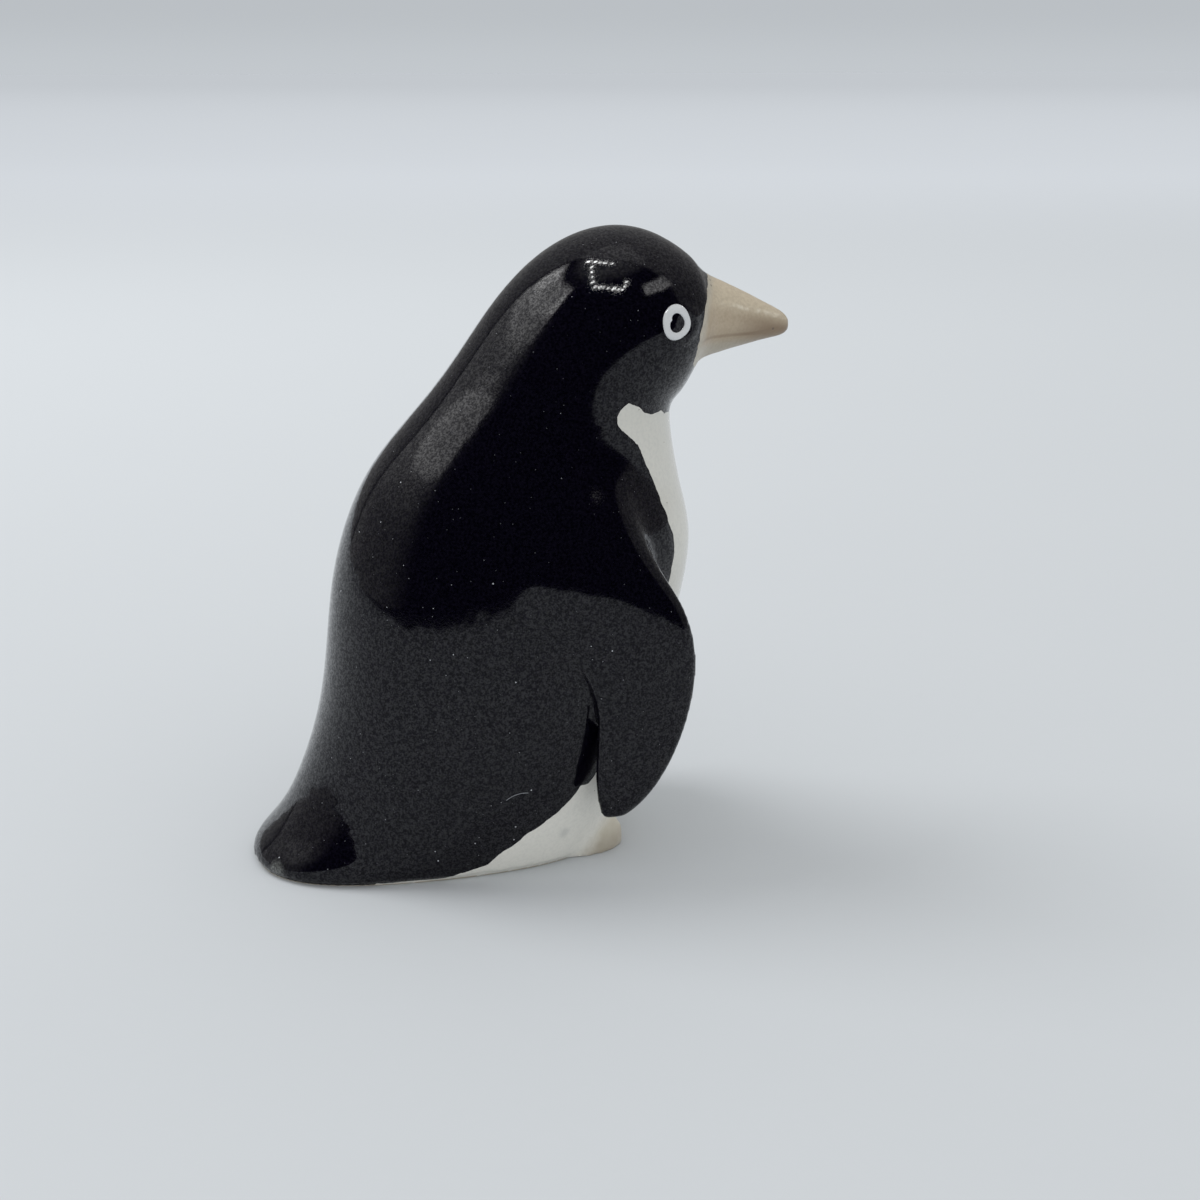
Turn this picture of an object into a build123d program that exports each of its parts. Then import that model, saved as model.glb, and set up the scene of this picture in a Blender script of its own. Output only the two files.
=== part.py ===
"""Glazed ceramic penguin figurine, slip cast and luted together before firing.

Frame: +Z up, +X forward (the way the beak points), +Y to the penguin's left.
The origin is on the surface that it stands on, midway between tail tip and beak tip.
Torso, neck, head and tail are one hollow casting with a vent hole in its base.
Beak, feet and flippers are solid and luted on, and the glaze coats lie over the clay.
Lengths are in millimetres.
"""

from build123d import *
import os
from math import cos, pi, radians, sin

# Overall form: the tables below are shares of these three
figure_length = 51.4
figure_height = 57.5
body_width = 26.0

# Casting
wall_thickness = 2.8
vent_hole_diameter = 6.0
vent_hole_x = -8.0

# Coats
glaze_thickness = 0.25
bare_foot_height = 0.5
enamel_thickness = 0.14

# Feet
foot_length = 9.6
foot_width = 6.0
foot_height = 2.9
foot_edge_radius = 1.2
foot_toe_x = 8.7
foot_spacing = 9.4

# Eyes
eye_ring_diameter = 3.4
eye_pupil_diameter = 1.85
eye_turn = 27.0

# One overrun serves every cut
overrun = 5.0

# How many points each section is drawn through
section_points = 24

# Body sections, base to beak: rear point x and z, front point x and z, half width,
# squareness (none is an oval) and taper (how much narrower it gets towards the rear).
# x is a share of figure_length, z of figure_height and half width of body_width.
body_section_shares = (
    (-0.4981, 0.0000, 0.1498, 0.0000, 0.373, 0.15, 0.00),
    (-0.5000, 0.0104, 0.1537, 0.0104, 0.385, 0.15, 0.00),
    (-0.4677, 0.0522, 0.1629, 0.0522, 0.414, 0.12, 0.05),
    (-0.4087, 0.1391, 0.1906, 0.1391, 0.458, 0.08, 0.09),
    (-0.3653, 0.2609, 0.2399, 0.2609, 0.489, 0.06, 0.04),
    (-0.3438, 0.4000, 0.2907, 0.4000, 0.485, 0.05, 0.00),
    (-0.3193, 0.5130, 0.3113, 0.5130, 0.462, 0.04, 0.00),
    (-0.2656, 0.6243, 0.2957, 0.5913, 0.419, 0.02, 0.00),
    (-0.1226, 0.7791, 0.2743, 0.7009, 0.365, 0.00, 0.00),
    (0.0224, 0.9400, 0.2811, 0.7304, 0.354, 0.00, 0.00),
    (0.2490, 0.9878, 0.3074, 0.7652, 0.277, 0.00, 0.00),
    (0.3307, 0.9322, 0.3307, 0.7861, 0.158, 0.00, 0.00),
)

# Beak sections, root to tip: x, top z, bottom z, half width, as above
beak_section_shares = (
    (0.356, 0.9191, 0.7930, 0.135),
    (0.399, 0.9000, 0.8043, 0.106),
    (0.447, 0.8783, 0.8139, 0.075),
    (0.479, 0.8635, 0.8191, 0.052),
    (0.493, 0.8548, 0.8235, 0.035),
    (0.500, 0.8461, 0.8304, 0.016),
)

# Flipper sections, tip to shoulder: z, rear x, front x, middle y, thickness, as above
flipper_section_shares = (
    (0.104, 0.0973, 0.1342, 0.477, 0.035),
    (0.120, 0.0914, 0.1615, 0.477, 0.062),
    (0.165, 0.0846, 0.2043, 0.477, 0.081),
    (0.240, 0.0875, 0.2432, 0.477, 0.090),
    (0.325, 0.0720, 0.2626, 0.477, 0.096),
    (0.417, 0.0000, 0.2510, 0.465, 0.123),
    (0.520, -0.0486, 0.1965, 0.415, 0.177),
    (0.610, -0.0428, 0.1595, 0.354, 0.162),
    (0.699, 0.0000, 0.1167, 0.292, 0.085),
)
flipper_squareness_share = 0.02

# Edge of the white glaze seen from the side, throat to base: x and z, as above
white_edge_shares = (
    (0.292, 0.701),
    (0.193, 0.730),
    (0.156, 0.739),
    (0.142, 0.730),
    (0.146, 0.713),
    (0.183, 0.682),
    (0.202, 0.610),
    (0.235, 0.529),
    (0.243, 0.478),
    (0.214, 0.391),
    (0.156, 0.304),
    (0.115, 0.252),
    (0.103, 0.209),
    (0.095, 0.167),
    (0.053, 0.132),
    (0.000, 0.094),
    (-0.054, 0.056),
    (-0.119, 0.021),
    (-0.181, 0.007),
)

# Where the eye axis leaves the mid-plane: x and z, as above
eye_axis_shares = (0.1876, 0.8626)

FORWARD = Vector(1, 0, 0)
SIDEWAYS = Vector(0, 1, 0)
DOWNWARD = Vector(0, 0, -1)


def spot(x_share, z_share):
    """A point on the mid-plane."""
    return Vector(x_share * figure_length, 0, z_share * figure_height)


def section(center, along, half_length, half_width, squareness=0, taper=0):
    """A closed smooth section, an oval when squareness and taper are none."""
    points = []
    marks = [0.0]
    for step in range(section_points):
        turn = 2 * pi * step / section_points
        reach = cos(turn) * (1 + squareness * sin(turn) ** 2)
        spread = sin(turn) * (1 + squareness * cos(turn) ** 2) * (1 + taper * cos(turn))
        points.append(center + along * (half_length * reach) + SIDEWAYS * (half_width * spread))
        marks.append((step + 1) / section_points)
    return Wire([Edge.make_spline(points, periodic=True, parameters=marks)])


def body_section(shares, inset):
    """One body section in its own plane, from rear point to front point."""
    rear_x, rear_z, front_x, front_z, half, squareness, taper = shares
    rear = spot(rear_x, rear_z)
    front = spot(front_x, front_z)
    half_length = (front - rear).length / 2 - inset
    half_width = half * body_width - inset
    along = (front - rear).normalized()
    return section((rear + front) / 2, along, half_length, half_width, squareness, taper)


def body_form(inset=0):
    """Torso, neck, head and tail from the base to the root of the beak."""
    return Solid.make_loft([body_section(shares, inset) for shares in body_section_shares])


def flipper_form(inset=0):
    """Leaf-shaped flipper on the left."""
    sections = []
    for z, rear, front, middle, thickness in flipper_section_shares:
        center = spot((rear + front) / 2, z) + SIDEWAYS * (middle * body_width)
        half_length = (front - rear) / 2 * figure_length - inset
        half_thickness = thickness / 2 * body_width - inset
        sections.append(
            section(center, FORWARD, half_length, half_thickness, flipper_squareness_share)
        )
    return Solid.make_loft(sections)


def beak_form():
    """Cone from the front of the head to a blunt tip."""
    sections = [body_section(body_section_shares[-1], 0)]
    for x, top, bottom, half in beak_section_shares:
        center = spot(x, (top + bottom) / 2)
        half_height = (top - bottom) / 2 * figure_height
        sections.append(section(center, DOWNWARD, half_height, half * body_width))
    return Solid.make_loft(sections)


def foot_form():
    """Low rounded toe block that shows in front of the base, on the left."""
    middle = Pos(foot_toe_x - foot_length / 2, foot_spacing / 2)
    block = extrude(middle * Ellipse(foot_length / 2, foot_width / 2), amount=foot_height)
    return fillet(block.edges().group_by(Axis.Z)[-1], foot_edge_radius)


def white_region():
    """Everything on the chest side of the white glaze's edge, right through the figure."""
    edge = [spot(x, z) for x, z in white_edge_shares]
    curve = Edge.make_spline(edge)
    front = figure_length
    corners = (
        edge[-1],
        Vector(edge[-1].X, 0, -overrun),
        Vector(front, 0, -overrun),
        Vector(front, 0, edge[0].Z),
        edge[0],
    )
    sides = [Edge.make_line(a, b) for a, b in zip(corners, corners[1:])]
    return extrude(Face(Wire([curve, *sides])), amount=body_width, dir=(0, 1, 0), both=True)


def eye_ring(skin):
    """Raised enamel ring on the left: a tube's share of what lies just outside the skin."""
    turn = radians(eye_turn)
    outward = Vector(sin(turn), cos(turn), 0)
    plane = Plane(spot(*eye_axis_shares), z_dir=outward)
    ring = plane * (Circle(eye_ring_diameter / 2) - Circle(eye_pupil_diameter / 2))
    raised_skin = skin.moved(Location(outward * enamel_thickness))
    return (extrude(ring, amount=body_width) & raised_skin) - skin


def opposite(shape):
    """The same shape on the other side of the figure."""
    return mirror(shape, about=Plane.XZ)


# Clay: the casting, hollow and open at the vent hole in its flat base
outer_clay = body_form(glaze_thickness)
hollow = body_form(glaze_thickness + wall_thickness)
hollow_limit = Box(
    figure_length,
    body_width,
    figure_height,
    align=(Align.MAX, Align.CENTER, Align.MIN),
).moved(Location(spot(body_section_shares[-1][0], 0) + (-wall_thickness, 0, wall_thickness)))
vent_hole = Cylinder(vent_hole_diameter / 2, wall_thickness + overrun)
body_casting = outer_clay - (hollow & hollow_limit) - vent_hole.moved(Location((vent_hole_x, 0, 0)))

# Clay: flippers, beak and feet are luted to the casting
flipper_left = flipper_form(glaze_thickness) - outer_clay
flipper_right = opposite(flipper_left)
beak = beak_form()
foot_left = foot_form() - outer_clay
foot_right = opposite(foot_left)

# Glaze: the black and white coats share one thickness and stop above the bare foot
coated_body = body_form()
coated_flipper = flipper_form()
bare_foot = Box(
    figure_length * 2,
    body_width * 2,
    bare_foot_height + overrun,
    align=(Align.CENTER, Align.CENTER, Align.MAX),
).moved(Location((0, 0, bare_foot_height)))
white_side = white_region()
body_glazed = coated_body - bare_foot - coated_flipper - opposite(coated_flipper)
white_glaze = (body_glazed & white_side) - outer_clay - foot_form() - opposite(foot_form())
flipper_coat = coated_flipper - outer_clay - flipper_left
body_black = body_glazed - white_side - outer_clay
black_glaze = body_black + flipper_coat + opposite(flipper_coat)

# Enamel: the eye rings lie on the black coat
eye_ring_left = eye_ring(coated_body)
eye_ring_right = opposite(eye_ring_left)

nodes = {
    "body_casting": body_casting,
    "flipper_left": flipper_left,
    "flipper_right": flipper_right,
    "beak": beak,
    "foot_left": foot_left,
    "foot_right": foot_right,
    "black_glaze": black_glaze,
    "white_glaze": white_glaze,
    "eye_ring_left": eye_ring_left,
    "eye_ring_right": eye_ring_right,
}
os.makedirs("parts", exist_ok=True)
for name, shape in nodes.items():
    export_step(shape, f"parts/{name}.step")
    print(name, len(shape.solids()), round(shape.volume, 2), shape.is_valid)
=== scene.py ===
from math import cos, pi, radians, sin

import bpy
import numpy as np
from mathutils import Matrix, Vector, noise
from mathutils.bvhtree import BVHTree


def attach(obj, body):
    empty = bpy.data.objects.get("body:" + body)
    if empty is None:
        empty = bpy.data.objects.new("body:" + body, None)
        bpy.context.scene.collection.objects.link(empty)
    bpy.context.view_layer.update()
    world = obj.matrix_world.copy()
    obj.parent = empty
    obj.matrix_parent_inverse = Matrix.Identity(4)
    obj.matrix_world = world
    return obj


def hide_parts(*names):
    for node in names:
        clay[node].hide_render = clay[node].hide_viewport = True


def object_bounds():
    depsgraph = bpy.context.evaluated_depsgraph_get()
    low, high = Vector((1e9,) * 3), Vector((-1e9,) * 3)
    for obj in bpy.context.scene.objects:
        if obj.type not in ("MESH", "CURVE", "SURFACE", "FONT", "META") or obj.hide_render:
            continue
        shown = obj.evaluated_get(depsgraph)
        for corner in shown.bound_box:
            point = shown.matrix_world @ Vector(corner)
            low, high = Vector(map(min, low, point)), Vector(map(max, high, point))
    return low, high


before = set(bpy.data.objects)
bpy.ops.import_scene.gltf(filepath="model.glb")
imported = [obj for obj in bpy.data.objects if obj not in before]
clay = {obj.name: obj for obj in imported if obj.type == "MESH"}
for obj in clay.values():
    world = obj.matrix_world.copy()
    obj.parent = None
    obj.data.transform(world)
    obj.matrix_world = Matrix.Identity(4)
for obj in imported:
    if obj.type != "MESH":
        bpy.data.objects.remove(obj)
cad_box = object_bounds()
mm = 0.001

# Body casting: torso, neck, head and tail, slip cast in one hollow piece of buff clay and
# fired. Its clay stays bare on the foot ring that it stands on and inside the vent hole.


class Socket:
    """One value in a material. Arithmetic on it adds the Math nodes that work it out."""

    def __init__(self, tree, link=None):
        self.tree = tree
        self.link = link

    def node(self, kind, settings, sockets, output=0):
        """Adds a node: its settings first, then the values or links of its sockets."""
        added = self.tree.nodes.new(kind)
        for name, value in settings.items():
            setattr(added, name, value)
        for name, value in sockets.items():
            if isinstance(value, Socket):
                self.tree.links.new(value.link, added.inputs[name])
            else:
                added.inputs[name].default_value = value
        return Socket(self.tree, added.outputs[output])

    def maths(self, operation, first, second):
        return self.node("ShaderNodeMath", {"operation": operation}, {0: first, 1: second})

    def __add__(self, other):
        return self.maths("ADD", self, other)

    __radd__ = __add__

    def __mul__(self, other):
        return self.maths("MULTIPLY", self, other)

    __rmul__ = __mul__

    def __sub__(self, other):
        return self.maths("SUBTRACT", self, other)

    def __rsub__(self, other):
        return self.maths("SUBTRACT", other, self)

    def __gt__(self, other):
        return self.maths("GREATER_THAN", self, other)

    def __lt__(self, other):
        return self.maths("LESS_THAN", self, other)

    def absolute(self):
        return self.maths("ABSOLUTE", self, 0)

    def root(self):
        return self.maths("SQRT", self, 0)

    def ramp(self, low, high):
        """0 below low and 1 above high, with a soft step between."""
        sockets = {"Value": self, "From Min": low, "From Max": high}
        return self.node("ShaderNodeMapRange", {"interpolation_type": "SMOOTHSTEP"}, sockets)

    def tint(self, first, second):
        """A colour between two others, by this value. A new one is red, green and blue."""
        ends = [end if isinstance(end, Socket) else (*end, 1) for end in (first, second)]
        # The Mix node keeps its colours in sockets 6 and 7, and gives the mixed one as output 2.
        sockets = {0: self, 6: ends[0], 7: ends[1]}
        return self.node("ShaderNodeMix", {"data_type": "RGBA"}, sockets, output=2)

    def grain(self, size, detail=2.0, roughness=0.5):
        """Random variation between 0 and 1, with lumps of the given size in metres."""
        sockets = {"Vector": self, "Scale": 1 / size, "Detail": detail, "Roughness": roughness}
        return self.node("ShaderNodeTexNoise", {}, sockets)

    def specks(self, spacing, size, share):
        """1 in small round dots, one in the given share of the cells of that spacing."""
        near = self.node("ShaderNodeTexVoronoi", {}, {"Vector": self, "Scale": 1 / spacing})
        colour = Socket(self.tree, near.link.node.outputs["Color"])
        pick = self.node("ShaderNodeSeparateColor", {}, {"Color": colour})
        return (near < size / spacing / 2) * (pick < share)


def glaze_recipe(name):
    """A new material and the place on the figure, in metres, as its first value."""
    material = bpy.data.materials.new(name)
    material.use_nodes = True
    start = Socket(material.node_tree)
    return material, start.node("ShaderNodeTexCoord", {}, {}, output="Object")


def fire(material, place, bump, depth, **sockets):
    """Sets the surface of a material: bump is its height, 0 to 1, and depth its full height."""
    shader = material.node_tree.nodes["Principled BSDF"]
    relief = place.node("ShaderNodeBump", {}, {"Height": bump, "Distance": depth, "Strength": 1.0})
    material.node_tree.links.new(relief.link, shader.inputs["Normal"])
    for name, value in sockets.items():
        socket = shader.inputs[name.replace("_", " ")]
        if isinstance(value, Socket):
            material.node_tree.links.new(value.link, socket)
        else:
            socket.default_value = value


bare_clay, place = glaze_recipe("bare_clay")
cloudy = place.grain(4 * mm)
grit = place.grain(0.25 * mm, detail=4)
iron = place.specks(1.1 * mm, 0.16 * mm, 0.4)
colour = cloudy.tint((0.45, 0.40, 0.32), (0.54, 0.49, 0.40))
colour = iron.tint(colour, (0.20, 0.12, 0.07))
fire(bare_clay, place, grit, 0.06 * mm, Base_Color=colour, Roughness=0.75 + 0.15 * grit)
clay["body_casting"].material_slots[0].material = bare_clay

# Flippers: two solid wings, modelled apart in the same clay and luted to the shoulders with
# slip. The black glaze runs over all of them.
for name in ("flipper_left", "flipper_right"):
    clay[name].material_slots[0].material = bare_clay

# Skin: the surface that the glaze makes over the assembled clay. It runs unbroken from the
# head to the flippers and toes, because the glaze pools in every joint and rounds every edge.
# It is worked out once, then cut along the brushed borders between the coats.
skin_step = 0.27 * mm
vent_hole_diameter, vent_hole_x = 6.0 * mm, -8.0 * mm
plug_height = 2.0 * mm
sharp_edge = radians(50)


def mesh_of(name, points, faces):
    """A mesh object with smooth shading, sharp only at cut edges."""
    mesh = bpy.data.meshes.new(name)
    mesh.from_pydata([tuple(p) for p in points], [], [tuple(f) for f in faces])
    mesh.polygons.foreach_set("use_smooth", [True] * len(mesh.polygons))
    mesh.set_sharp_from_angle(angle=sharp_edge)
    made = bpy.data.objects.new(name, mesh)
    bpy.context.scene.collection.objects.link(made)
    return made


def points_and_faces(obj):
    """Corner points as an array, and the faces as lists of their numbers."""
    points = np.array([v.co for v in obj.data.vertices], float)
    return points, [list(p.vertices) for p in obj.data.polygons]


def plug(steps=48):
    """A disc that closes the vent hole while the skin is made."""
    radius = vent_hole_diameter / 2 + skin_step
    turns = [2 * pi * step / steps for step in range(steps)]
    ring = [(vent_hole_x + radius * cos(t), radius * sin(t)) for t in turns]
    points = [(x, y, 0) for x, y in ring] + [(x, y, plug_height) for x, y in ring]
    sides = [(i, (i + 1) % steps, steps + (i + 1) % steps, steps + i) for i in range(steps)]
    return points, sides + [list(range(steps))[::-1], list(range(steps, 2 * steps))]


blank_points, blank_faces = plug()
for node in clay.values():
    points, faces = points_and_faces(node)
    first = len(blank_points)
    blank_points += [tuple(p) for p in points]
    blank_faces += [[first + corner for corner in face] for face in faces]
blank = mesh_of("blank", blank_points, blank_faces)
cover = blank.modifiers.new("cover", "REMESH")
cover.mode = "VOXEL"
cover.voxel_size = skin_step
covered = blank.evaluated_get(bpy.context.evaluated_depsgraph_get()).data
skin = np.array([v.co for v in covered.vertices], float)
quads = np.array([list(p.vertices) for p in covered.polygons])
triangles = np.vstack([quads[:, (0, 1, 2)], quads[:, (0, 2, 3)]])
bpy.data.objects.remove(blank)

sides = np.vstack([quads[:, (0, 1)], quads[:, (1, 2)], quads[:, (2, 3)], quads[:, (3, 0)]])
sides = np.unique(np.sort(sides, axis=1), axis=0)
neighbours = np.bincount(sides.ravel(), minlength=len(skin))


def ease(points, share):
    """Each point moved by a share of the way to the middle of its neighbours."""
    middle = np.empty_like(points)
    for axis in range(3):
        near = np.bincount(sides[:, 0], points[sides[:, 1], axis], len(points))
        near += np.bincount(sides[:, 1], points[sides[:, 0], axis], len(points))
        middle[:, axis] = near / neighbours
    return points + (middle - points) * share


def smoothed(points, draw_in, push_out):
    """Small bumps taken off, by easing in and then back out so that the whole doesn't shrink."""
    return ease(ease(points, draw_in), -push_out)


def searcher(*names):
    """Finds the nearest point on some of the clay pieces."""
    points, faces = [], []
    for name in names:
        more, added = points_and_faces(clay[name])
        faces += [[len(points) + corner for corner in face] for face in added]
        points += [Vector(p) for p in more]
    return BVHTree.FromPolygons(points, faces)


def distances(tree, points):
    """How far each point is from some clay pieces."""
    return np.array([tree.find_nearest(Vector(p))[3] for p in points])


# The glaze pools along a joint as far as its reach. It doesn't low on the flippers, which stand
# off the body there, nor at the very bottom of the toes, so it fades out towards both.
flippers = searcher("flipper_left", "flipper_right")
to_trunk = distances(searcher("body_casting"), skin)
shoulder_reach, small_reach = 2.8 * mm, 1.6 * mm
shoulder_bottom, shoulder_fade = 22 * mm, 8 * mm
instep_bottom, instep_fade = 0.5 * mm, 1.0 * mm


def pooled(tree, reach):
    """1 within 0.4 of the reach from a joint with the trunk, falling to 0 at 1.4 of it."""
    joint = np.clip(1.4 - (distances(tree, skin) + to_trunk) / reach, 0, 1)
    return joint**2 * (3 - 2 * joint)


shoulder = pooled(flippers, shoulder_reach)
shoulder = shoulder * np.clip((skin[:, 2] - shoulder_bottom) / shoulder_fade, 0, 1)
root = pooled(searcher("beak"), small_reach)
instep = pooled(searcher("foot_left", "foot_right"), small_reach)
instep = instep * np.clip((skin[:, 2] - instep_bottom) / instep_fade, 0, 1)
blending = np.maximum(np.maximum(shoulder, root), instep)[:, None]
pooling_rounds, pooling_share = 70, 0.6
for _ in range(pooling_rounds):
    skin = ease(skin, pooling_share * blending)
smoothing_rounds = 12
for _ in range(smoothing_rounds):
    skin = smoothed(skin, 0.5, 0.53)

# Where this sank the skin into the clay, it is lifted back to just over the clay and eased
# again, so that no bare clay shows through the glaze.
fired = searcher("body_casting", "flipper_left", "flipper_right")
least_cover = 0.025 * mm
lifting_rounds = 3
for _ in range(lifting_rounds):
    for number, point in enumerate(skin):
        spot, normal = fired.find_nearest(Vector(point))[:2]
        if (Vector(point) - spot).dot(normal) < 0:
            skin[number] = spot + normal * least_cover
    skin = smoothed(skin, 0.3, 0.31)
skin = np.clip(skin, *cad_box)

# Borders of the coats: black is brushed over white by hand, so its edge wanders and frays.
# Each border is a distance that is positive on one side of it, and the skin is cut at zero.
# The white's outline is in millimetres, x and z, from the throat to the base and round it.
throat_to_base = [
    (15.6, 41.2), (13.3, 41.3), (12.4, 41.3), (12.0, 41.8), (10.9, 41.7), (9.9, 41.9),
    (9.3, 42.6), (8.2, 43.1), (7.5, 42.6), (7.15, 42.0), (7.1, 41.2), (7.6, 40.7),
    (9.0, 39.5), (9.3, 39.3), (9.7, 38.2), (10.8, 35.8), (11.4, 34.2), (12.0, 32.9),
    (12.8, 30.6), (12.9, 29.1), (12.4, 27.2), (11.0, 22.0), (8.0, 17.0), (5.6, 14.0),
    (5.2, 12.2), (4.9, 9.4), (4.1, 8.6), (3.3, 8.5), (2.2, 7.2), (0.9, 6.1),
    (-1.0, 4.8), (-1.6, 4.5), (-3.2, 3.2), (-4.3, 2.5), (-5.3, 1.4), (-7.3, 0.9),
    (-9.3, 0.3), (-15.5, 0.25),
]
front_of_figure = [(-15.5, -5.0), (40.0, -5.0), (40.0, 41.2)]
black_past_flipper = 0.45 * mm
beak_root_x, root_lean, root_wrap = 7.1 * mm, 0.2, 0.22
throat_z, throat_half_width, throat_curve = 45.25 * mm, 4 * mm, 5 * mm
toe_top, toe_back = 3.0 * mm, 4.6 * mm
wiped_height = 0.03 * mm
least_sliver = 0.01 * mm


def inside_outline(outline, x, z):
    """Distance to a closed outline, positive inside it."""
    points = np.array(outline)
    nearest = np.full(len(x), np.inf)
    inside = np.zeros(len(x), bool)
    for (ax, az), (bx, bz) in zip(points, np.roll(points, -1, axis=0)):
        run, rise = bx - ax, bz - az
        along = np.clip(((x - ax) * run + (z - az) * rise) / (run**2 + rise**2), 0, 1)
        nearest = np.minimum(nearest, np.hypot(x - ax - along * run, z - az - along * rise))
        crosses = (az > z) != (bz > z)
        if rise:
            inside ^= crosses & (x < ax + (z - az) / rise * run)
    return np.where(inside, nearest, -nearest)


def fray(points, size, height):
    """Wander of a brushed edge: lumps of a size, up to about a height, both in metres."""
    return np.array([noise.noise(Vector(p) / size) for p in points]) * height


brush = fray(skin, 1.3 * mm, 0.10 * mm) + fray(skin, 0.45 * mm, 0.08 * mm)
on_white = inside_outline(throat_to_base + front_of_figure, skin[:, 0] / mm, skin[:, 2] / mm) * mm
white_field = np.minimum(on_white + brush, distances(flippers, skin) - black_past_flipper)
beak_root = beak_root_x + root_lean * skin[:, 2] - root_wrap * np.abs(skin[:, 1])
past_throat = np.clip(np.abs(skin[:, 1]) - throat_half_width, 0, None)
beak_under = throat_z + past_throat**2 / throat_curve
beak_field = np.minimum(skin[:, 0] - beak_root, skin[:, 2] - beak_under) + brush
toe_field = np.minimum(toe_top - skin[:, 2], skin[:, 0] - toe_back)
ring_field = skin[:, 2] - wiped_height
fields = np.column_stack([skin, white_field, beak_field, toe_field, ring_field])
WHITE, BEAK, TOE, RING = 3, 4, 5, 6


def cut(points, faces, field):
    """Cuts triangles where a field passes zero: points, faces above zero, faces below."""
    value = points[:, field]
    value[np.abs(value) < least_sliver] = 0
    sign = np.sign(value)[faces]
    above = (sign >= 0).all(axis=1)
    below = (sign <= 0).all(axis=1) & ~above
    kept = {1: [faces[above]], -1: [faces[below]]}
    new_points = []
    numbers = {}

    def crossing(a, b):
        key = (min(a, b), max(a, b))
        if key not in numbers:
            share = value[a] / (value[a] - value[b])
            numbers[key] = len(points) + len(new_points)
            new_points.append(points[a] + share * (points[b] - points[a]))
        return numbers[key]

    split = {1: [], -1: []}
    for face in faces[~above & ~below]:
        for turn in range(3):
            a, b, c = np.roll(face, -turn)
            s = [int(np.sign(value[k])) for k in (a, b, c)]
            if s[0] == 0:
                middle = crossing(b, c)
                split[s[1]].append((a, b, middle))
                split[s[2]].append((a, middle, c))
                break
            if s[1] == s[2] == -s[0]:
                left, right = crossing(a, b), crossing(a, c)
                split[s[0]].append((a, left, right))
                split[s[1]] += [(left, b, c), (left, c, right)]
                break
    for side in kept:
        kept[side].append(np.array(split[side], int).reshape(-1, 3))
    points = np.vstack([points, np.array(new_points).reshape(-1, points.shape[1])])
    points[len(value):, field] = 0
    return points, np.vstack(kept[1]), np.vstack(kept[-1])


fields, beak_faces, faces = cut(fields, triangles, BEAK)
fields, toe_faces, faces = cut(fields, faces, TOE)
fields, faces, foot_ring = cut(fields, faces, RING)
fields, white_faces, black_faces = cut(fields, faces, WHITE)

# Beak: a solid cone of clay luted to the front of the head, under a thin buff glaze that is
# satin rather than glossy. It is browner along the mouth and tip, with painted shade along the
# mouth and on its lower side, painted light on its top and a painted highlight along its ridge,
# and paler at the root, where it was wiped before the black was brushed up to it.
beak_middle = (14.5 * mm, 0, 49.4 * mm)
mouth_z = 47.85 * mm
ridge_z, ridge_slope = 55.6 * mm, 0.27
dark_specks = [(17.2, -1.5, 53.2), (17.5, -2.1, 52.7), (17.4, -2.8, 52.3), (23.8, -1.6, 48.0)]


def parts_of(place):
    """The x, y and z of a place, each as a value of its own."""
    split = place.node("ShaderNodeSeparateXYZ", {}, {"Vector": place})
    return [Socket(place.tree, out) for out in split.link.node.outputs]


def nearness(place, middle, inside, outside):
    """1 within one distance of a point, falling to 0 at another, all in millimetres."""
    ends = {0: place, 1: Vector(middle) * mm}
    off = place.node("ShaderNodeVectorMath", {"operation": "DISTANCE"}, ends, "Value")
    return 1 - off.ramp(inside * mm, outside * mm)


def open_edges(faces):
    """Edges of one face only, each in that face's order."""
    runs = np.vstack([faces[:, (0, 1)], faces[:, (1, 2)], faces[:, (2, 0)]])
    known = {(a, b) for a, b in runs.tolist()}
    return sorted((a, b) for a, b in known if (b, a) not in known)


def compact(name, points, faces):
    """A mesh object of the points that its faces use."""
    used, corners = np.unique(np.array(faces).ravel(), return_inverse=True)
    return mesh_of(name, points[used], corners.reshape(-1, 3))


def solid(name, faces, back):
    """A closed solid: part of the skin, closed over a point behind its open edge."""
    points = np.vstack([fields[:, :3], back])
    closed = faces.tolist() + [(b, a, len(fields)) for a, b in open_edges(faces)]
    return compact(name, points, closed)


def finish_piece(piece, material, slot, *names):
    """Glazes a piece, and puts it on the figure in place of the CAD solids of those names."""
    piece.data.materials.append(material)
    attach(piece, "root")
    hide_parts(*names)


buff, place = glaze_recipe("buff_glaze")
x, y, z = parts_of(place)
cloudy = place.grain(2.2 * mm)
fine = place.grain(0.28 * mm, detail=3).ramp(0.3, 0.7)
iron = place.specks(1.6 * mm, 0.15 * mm, 0.22)
above_mouth = z - (mouth_z - 0.2 * mm * cloudy)
# Painted shade: a thin dark line along the mouth.
painted_mouth_shade = 1 - above_mouth.absolute().ramp(0.03 * mm, 0.24 * mm)
around_mouth = 1 - above_mouth.absolute().ramp(0.1 * mm, 0.9 * mm)
under_mouth = 1 - above_mouth.ramp(-1.0 * mm, -0.1 * mm)
over_ridge = z + ridge_slope * x - (ridge_z + 0.25 * mm * cloudy)
# Painted light: the beak is paler on top, as if lit from above, and darker below its ridge.
painted_top_light = over_ridge.ramp(-1.3 * mm, 0.3 * mm)
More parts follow.
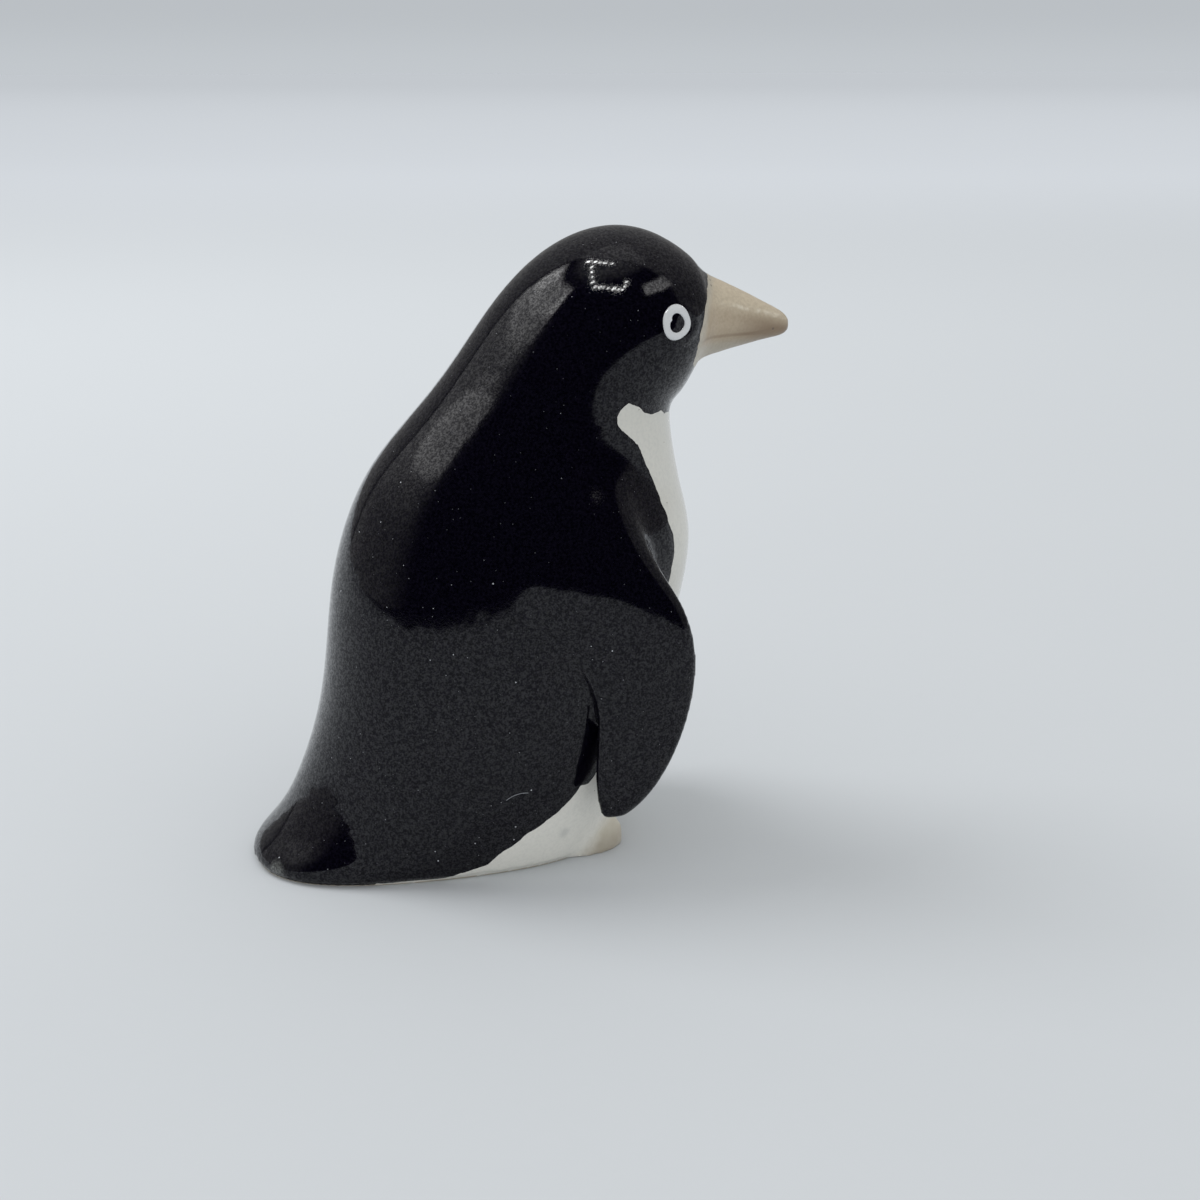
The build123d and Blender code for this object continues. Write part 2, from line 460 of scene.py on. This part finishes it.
# Painted highlight: a pale broken line along the ridge of the beak.
painted_ridge_highlight = (1 - over_ridge.absolute().ramp(0.02 * mm, 0.30 * mm)) * x.ramp(17.4 * mm, 19.4 * mm)
painted_ridge_highlight = painted_ridge_highlight * place.grain(0.6 * mm, detail=3).ramp(0.38, 0.66)
toward_tip = x.ramp(18.5 * mm, 24.0 * mm)
past_root = x - root_lean * z + root_wrap * y.absolute() - beak_root_x
at_root = 1 - past_root.ramp(0.1 * mm, 0.9 * mm)
pale, tan, brown = (0.60, 0.52, 0.39), (0.47, 0.385, 0.28), (0.25, 0.18, 0.115)
grey, wiped, ridge_highlight_colour = (0.39, 0.37, 0.305), (0.52, 0.50, 0.43), (0.76, 0.70, 0.58)
iron_dark, speck_dark = (0.08, 0.06, 0.04), (0.10, 0.08, 0.06)
colour = (painted_top_light + 0.3 * cloudy - 0.1 * toward_tip).tint(tan, pale)
colour = (0.6 * under_mouth).tint(colour, grey)
# Browner round the mouth and towards the tip; below the ridge that brown is partly painted shade,
# and the mouth line is painted shade.
browned_and_shaded = 0.45 * painted_mouth_shade + 0.2 * around_mouth + 0.85 * toward_tip * (1 - painted_top_light)
colour = browned_and_shaded.tint(colour, brown)
colour = (0.7 * at_root).tint(colour, wiped)
colour = (0.22 * fine).tint(colour, brown)
colour = (0.7 * painted_ridge_highlight).tint(colour, ridge_highlight_colour)
colour = (0.7 * iron).tint(colour, iron_dark)
for spot in dark_specks:
    colour = (0.75 * nearness(place, spot, 0.06, 0.17)).tint(colour, speck_dark)
fire(buff, place, fine, 0.008 * mm, Base_Color=colour, Roughness=0.30 + 0.12 * cloudy)
beak = solid("beak_glazed", beak_faces, beak_middle)
finish_piece(beak, buff, "buff_glaze", "beak")

# Toes: two low rounded blocks of clay that show in front of the base, luted on and glazed with
# the chest, so that the white thins to buff over their tops and fronts.
toe_middle_x, toe_middle_y, toe_middle_z = 3.6 * mm, 4.7 * mm, 1.5 * mm


def milky(place):
    """Colour of the white glaze, cream grey with iron specks, with painted light low down, and
    where it thins at the toes.
    """
    x, _, z = parts_of(place)
    colour = place.grain(5 * mm).tint((0.72, 0.715, 0.665), (0.64, 0.635, 0.58))
    toward_chest = z.ramp(4 * mm, 24 * mm)
    # Painted light: the glaze is lighter towards the base, as if lit from below.
    colour = (1 - toward_chest).tint(colour, (0.83, 0.82, 0.76))
    mottle = place.grain(0.3 * mm, detail=3).ramp(0.35, 0.75)
    colour = (mottle * (0.25 + 0.45 * toward_chest)).tint(colour, (0.61, 0.61, 0.57))
    smudge = nearness(place, (2.0, -9.7, 3.6), 0.1, 0.9)
    colour = (0.3 * smudge).tint(colour, (0.35, 0.37, 0.36))
    cloudy = place.grain(1.2 * mm)
    thin = (x - 0.6 * z + 0.9 * mm * cloudy).ramp(3.6 * mm, 6.2 * mm)
    thin = thin * (1 - z.ramp(2.2 * mm, 4.2 * mm))
    clay_seen = z.ramp(0.4 * mm, 2.6 * mm).tint((0.43, 0.385, 0.305), (0.60, 0.56, 0.455))
    colour = (thin * (0.75 + 0.4 * cloudy)).tint(colour, clay_seen)
    iron = place.specks(1.5 * mm, 0.13 * mm, 0.32)
    return (0.8 * iron).tint(colour, (0.20, 0.18, 0.15)), thin


toe, place = glaze_recipe("toe_glaze")
fine = place.grain(0.3 * mm, detail=3)
colour, thin = milky(place)
fire(toe, place, fine, 0.01 * mm, Base_Color=colour, Roughness=0.16 + 0.22 * thin)
for name, side in (("foot_left", 1), ("foot_right", -1)):
    own = toe_faces[fields[toe_faces[:, 0], 1] * side > 0]
    foot = solid(name + "_glazed", own, (toe_middle_x, side * toe_middle_y, toe_middle_z))
    finish_piece(foot, toe, "buff_glaze", name)

# White coat: a milky gloss glaze over chest and belly, brushed on before the black, with a
# few dark specks from the clay, a little grey in its thin places, and painted light low on the
# belly.
glaze_thickness = 0.22 * mm
every_face = np.vstack([beak_faces, toe_faces, foot_ring, white_faces, black_faces])


def normals_of(points, faces):
    """Outward direction at each point."""
    a, b, c = (points[faces[:, k], :3] for k in range(3))
    across = np.cross(b - a, c - a)
    total = np.zeros((len(points), 3))
    for k in range(3):
        for axis in range(3):
            total[:, axis] += np.bincount(faces[:, k], across[:, axis], len(points))
    return total / np.maximum(np.linalg.norm(total, axis=1), 1e-12)[:, None]


outward = normals_of(fields, every_face)


def coat(name, faces):
    """A closed shell of glaze: the skin, the same surface a thickness further in, and a rim."""
    count = len(fields)
    points = np.vstack([fields[:, :3], fields[:, :3] - outward * glaze_thickness])
    shell = faces.tolist() + (faces[:, ::-1] + count).tolist()
    for a, b in open_edges(faces):
        shell += [(b, a, a + count), (b, a + count, b + count)]
    return compact(name, points, shell)


white, place = glaze_recipe("white_glaze")
cloudy = place.grain(5 * mm)
fine = place.grain(0.5 * mm, detail=3)
colour, thin = milky(place)
gloss = 0.12 + 0.08 * cloudy + 0.22 * thin
fire(white, place, fine, 0.012 * mm, Base_Color=colour, Roughness=gloss)
finish_piece(coat("white_coat", white_faces), white, "white_glaze", "white_glaze")

# Black coat: a deep gloss glaze over back, head and flippers. Its skin is finely pitted, which
# makes the reflections grainy, and dust lies on it as pale specks. It is rubbed through to
# grey at the lower edge of the tail, where the figure tips back on what it stands on.
lint = (0.45, 0.47, 0.50)
hair_x, hair_z = -2.26 * mm, 6.54 * mm
hair_radius, hair_width = 2.40 * mm, 0.07 * mm

black, place = glaze_recipe("black_glaze")
x, y, z = parts_of(place)
pitted = (0.6 * place.grain(0.16 * mm) + 0.4 * place.grain(0.34 * mm)).ramp(0.38, 0.62)
swell = place.grain(3.5 * mm)
dust = place.specks(1.7 * mm, 0.14 * mm, 0.35) + 0.5 * place.specks(0.9 * mm, 0.09 * mm, 0.3)
dust = dust + 0.2 * place.specks(0.55 * mm, 0.08 * mm, 0.35)
fleck = place.grain(0.22 * mm).ramp(0.3, 0.75)
# One short, curved hair is caught in the glaze low on the right flank.
off_x, off_z = x - hair_x, z - hair_z
bent = (off_x * off_x + off_z * off_z).root()
hair = ((bent - hair_radius).absolute() < hair_width / 2) * (x > -3.8 * mm) * (x < -1.8 * mm)
hair = hair * (z > 8.3 * mm) * (y < 0)
rubbed = nearness(place, (-24.0, -5.4, 0.7), 0.5, 1.3) * (0.3 + 0.7 * pitted)
colour = fleck.tint((0.0003, 0.0002, 0.0018), (0.0036, 0.0030, 0.0072))
colour = dust.tint(colour, lint)
colour = (0.5 * hair).tint(colour, lint)
colour = (0.6 * rubbed).tint(colour, (0.20, 0.21, 0.20))
gloss = 0.03 + 0.04 * swell + 0.3 * dust + 0.3 * rubbed
mirror = 0.74 * pitted * (0.6 + 0.4 * pitted)
shine = {"Coat_Weight": mirror, "Coat_IOR": 1.5, "Coat_Roughness": 0.025, "IOR": 1.25}
fire(black, place, pitted, 0.002 * mm, Base_Color=colour, Roughness=gloss, **shine)
finish_piece(coat("black_coat", black_faces), black, "black_glaze", "black_glaze")

# Eye rings: one turn of white enamel on each side of the head, laid with a fine brush over
# the fired black, so it stands slightly proud, wavers, and laps itself where it closes.
eye_x, eye_z = 8.64 * mm, 49.9 * mm
eye_turn = radians(27)
ring_outside, ring_inside = 1.52 * mm, 0.81 * mm
ring_rise, ring_sink = 0.11 * mm, 0.05 * mm
ring_steps, line_steps = 96, 10
clear_of_head = 20 * mm

enamel, place = glaze_recipe("white_enamel")
fine = place.grain(0.35 * mm, detail=3)
colour = fine.tint((0.74, 0.76, 0.77), (0.62, 0.64, 0.655))
fire(enamel, place, fine, 0.015 * mm, Base_Color=colour, Roughness=0.22 + 0.15 * fine)

coated = BVHTree.FromPolygons([Vector(p) for p in fields[:, :3]], black_faces.tolist())


def eye_ring(name, side):
    """A raised ring that follows the head, seen round along its own axis."""
    axis = Vector((sin(eye_turn), side * cos(eye_turn), 0))
    across = Vector((cos(eye_turn), -side * sin(eye_turn), 0))
    up = Vector((0, 0, 1))
    middle = Vector((eye_x, 0, eye_z))
    points = []
    for step in range(ring_steps):
        turn = 2 * pi * step / ring_steps
        # The hand wavers by a tenth of a millimetre or two, not alike on the two sides.
        hand = turn + (0.0 if side < 0 else 0.8)
        outside = 0.07 * (cos(hand + 2.5) + cos(3 * hand + 0.85)) + 0.04 * cos(4 * hand + 1.55)
        lap = max(0.0, cos(hand - 2.85)) ** 60
        inside = 0.11 * cos(hand + 2.2) + 0.065 * cos(3 * hand + 0.75) - 0.08 * lap
        outside = ring_outside + outside * mm
        inside = ring_inside + inside * mm
        loop = []
        for line in range(line_steps + 1):
            out = line / line_steps
            reach = inside + out * (outside - inside)
            sight = middle + across * (reach * cos(turn)) + up * (reach * sin(turn))
            hit, normal = coated.ray_cast(sight + axis * clear_of_head, -axis)[:2]
            rise = ring_rise * (1 - (2 * out - 1) ** 4)
            loop.append((hit + normal * rise, hit - normal * ring_sink))
        points += [top for top, _ in loop] + [under for _, under in reversed(loop)]
    size = 2 * (line_steps + 1)
    faces = []
    for step in range(ring_steps):
        here, there = step * size, (step + 1) % ring_steps * size
        for k in range(size):
            n = (k + 1) % size
            face = (here + k, there + k, there + n, here + n)
            faces.append(face if side < 0 else face[::-1])
    return mesh_of(name, points, faces)


for name, side in (("eye_ring_left", 1), ("eye_ring_right", -1)):
    ring = eye_ring(name + "_enamel", side)
    finish_piece(ring, enamel, "white_enamel", name)

# Setting: a pale table top, one soft lamp above, and even light all round. The gloss mirrors a
# pale backdrop behind the figure, a wall with a window on its left, a card on its right and a
# curved row of small bulbs overhead. The rest of the room that it mirrors is dark.
heading = radians(14)
ahead = Vector((sin(heading), cos(heading), 0))
right = Vector((cos(heading), -sin(heading), 0))
table_reach, table_drop = 6.0, 0.02 * mm


def along(socket, direction):
    """How far a place or direction reaches along another."""
    sockets = {0: socket, 1: direction}
    return socket.node("ShaderNodeVectorMath", {"operation": "DOT_PRODUCT"}, sockets, "Value")


def rays(start, kind):
    """1 where the light path is of one kind, and 0 elsewhere."""
    return start.node("ShaderNodeLightPath", {}, {}, kind)


corners = [(-1, -1), (1, -1), (1, 1), (-1, 1)]
corners = [(x * table_reach, y * table_reach, -table_drop) for x, y in corners]
table_top = mesh_of("table_top", corners, [(0, 1, 2, 3)])
table, place = glaze_recipe("table_top")
cloudy = place.grain(60 * mm, detail=4)
scuffs = place.grain(2 * mm, detail=6)
distance = along(place, ahead)
colour = (0.5 * cloudy + 0.2 * scuffs).tint((0.595, 0.625, 0.65), (0.62, 0.65, 0.675))
colour = distance.ramp(0.0, 0.5).tint(colour, (0.665, 0.70, 0.73))
colour = distance.ramp(0.42, 1.0).tint(colour, (0.775, 0.817, 0.865))
colour = distance.ramp(1.2, 4.2).tint(colour, (0.685, 0.722, 0.765))
past_edge = (0 - distance).ramp(0.25, 0.34)
colour = (rays(place, "Is Glossy Ray") * past_edge).tint(colour, (0.01, 0.01, 0.012))
matt = {"Roughness": 0.8, "Specular_IOR_Level": 0.0}
fire(table, place, scuffs, 0.003 * mm, Base_Color=colour, **matt)
table_top.data.materials.append(table)

sky = bpy.data.worlds.new("studio")
bpy.context.scene.world = sky
sky.use_nodes = True
start = Socket(sky.node_tree)
toward = start.node("ShaderNodeTexCoord", {}, {}, output="Generated")
up = Vector((0, 0, 1))
turned = start.maths("ARCTAN2", along(toward, right), along(toward, ahead)) * (180 / pi)
raised = start.maths("ARCSINE", along(toward, up), 0) * (180 / pi)


def card(turn_from, turn_to, raised_from, raised_to, soft):
    """1 on a soft-edged card: degrees turned from straight ahead, and degrees raised."""
    side = turned.ramp(turn_from - soft, turn_from + soft)
    side = side * (1 - turned.ramp(turn_to - soft, turn_to + soft))
    high = raised.ramp(raised_from - soft, raised_from + soft)
    return side * high * (1 - raised.ramp(raised_to - soft, raised_to + soft))


dark_room = 0.012
backdrop = card(-55, 100, -90, 90, 3) * (0.22 + 0.16 * raised.ramp(20, 60))
left_wall = turned.ramp(-140, -108) * (1 - turned.ramp(-58, -57)) * (1 - raised.ramp(38, 44))
left_wall = left_wall * (0.32 + 0.45 * raised.ramp(14, 36))
window = 1.3 * card(-128, -60, 35, 58, 2) + 2.8 * card(-128, -60, 43.5, 58, 2.5)
window = window - 1.8 * card(-120, -80, 46, 56, 4)
right_card = 2.8 * card(94, 134, 36, 48, 1.5) * (0.35 + 0.65 * turned.ramp(92, 118))
overhead = 0.45 * raised.ramp(60, 76)
mirrored = backdrop + left_wall + window + right_card + overhead + dark_room

# The bulbs, by how far each is to the right and towards the camera, for a height of one.
bulbs = [
    (-0.29, -0.10), (-0.22, -0.03), (-0.16, 0.03), (-0.10, 0.05), (-0.01, 0.10), (-0.25, 0.07),
    (-0.24, 0.18), (-0.24, 0.29), (-0.23, 0.42), (-0.19, 0.55), (-0.12, 0.59), (-0.06, 0.61),
    (0.03, 0.66), (0.12, 0.70), (0.20, 0.75), (0.28, 0.78), (0.30, 0.67), (0.28, 0.56),
]
bulb_glow = 30.0
bulb_rim, bulb_core = cos(radians(1.7)), cos(radians(0.9))
for across, forward in bulbs:
    bulb = (right * across - ahead * forward + up).normalized()
    mirrored = mirrored + bulb_glow * along(toward, bulb).ramp(bulb_rim, bulb_core)

# Everything but gloss and camera sees even light, and the camera a haze over the table's far
# edge, a little brighter down at that edge.
even = 0.80
haze = 0.526 + 0.05 * (1 - raised.ramp(-0.7, 1.3))
seen = rays(start, "Is Camera Ray")
level = even + rays(start, "Is Glossy Ray") * (mirrored - even)
level = level + seen * (haze - level)
air = seen.tint((1.0, 1.0, 1.0), (0.945, 1.0, 1.055))
background = sky.node_tree.nodes["Background"]
sky.node_tree.links.new(air.link, background.inputs["Color"])
sky.node_tree.links.new(level.link, background.inputs["Strength"])

lamp = bpy.data.lights.new("soft_lamp", "AREA")
lamp.shape = "DISK"
lamp.size = 0.4
lamp.energy = 1.9
lamp.specular_factor = 0
lamp_stand = bpy.data.objects.new("soft_lamp", lamp)
lamp_stand.location = Vector((0, 0, 0.62)) + 0.15 * ahead - 0.38 * right
lamp_stand.rotation_euler = (-lamp_stand.location).to_track_quat("-Z", "Y").to_euler()
lamp_stand.visible_glossy = False
bpy.context.scene.collection.objects.link(lamp_stand)

# Camera: a long lens slightly above the figure, looking down on it.
look_down = radians(16.966)
lens = bpy.data.cameras.new("camera")
lens.lens = 54
lens.sensor_width = 36
lens.clip_start = 0.01
lens.clip_end = 100
tripod = bpy.data.objects.new("camera", lens)
tripod.location = (-31.62 * mm, -158.15 * mm, 72.4 * mm)
tripod.rotation_euler = (pi / 2 - look_down, 0, -heading)
bpy.context.scene.collection.objects.link(tripod)
bpy.context.scene.camera = tripod
bpy.context.scene.view_settings.view_transform = "Standard"
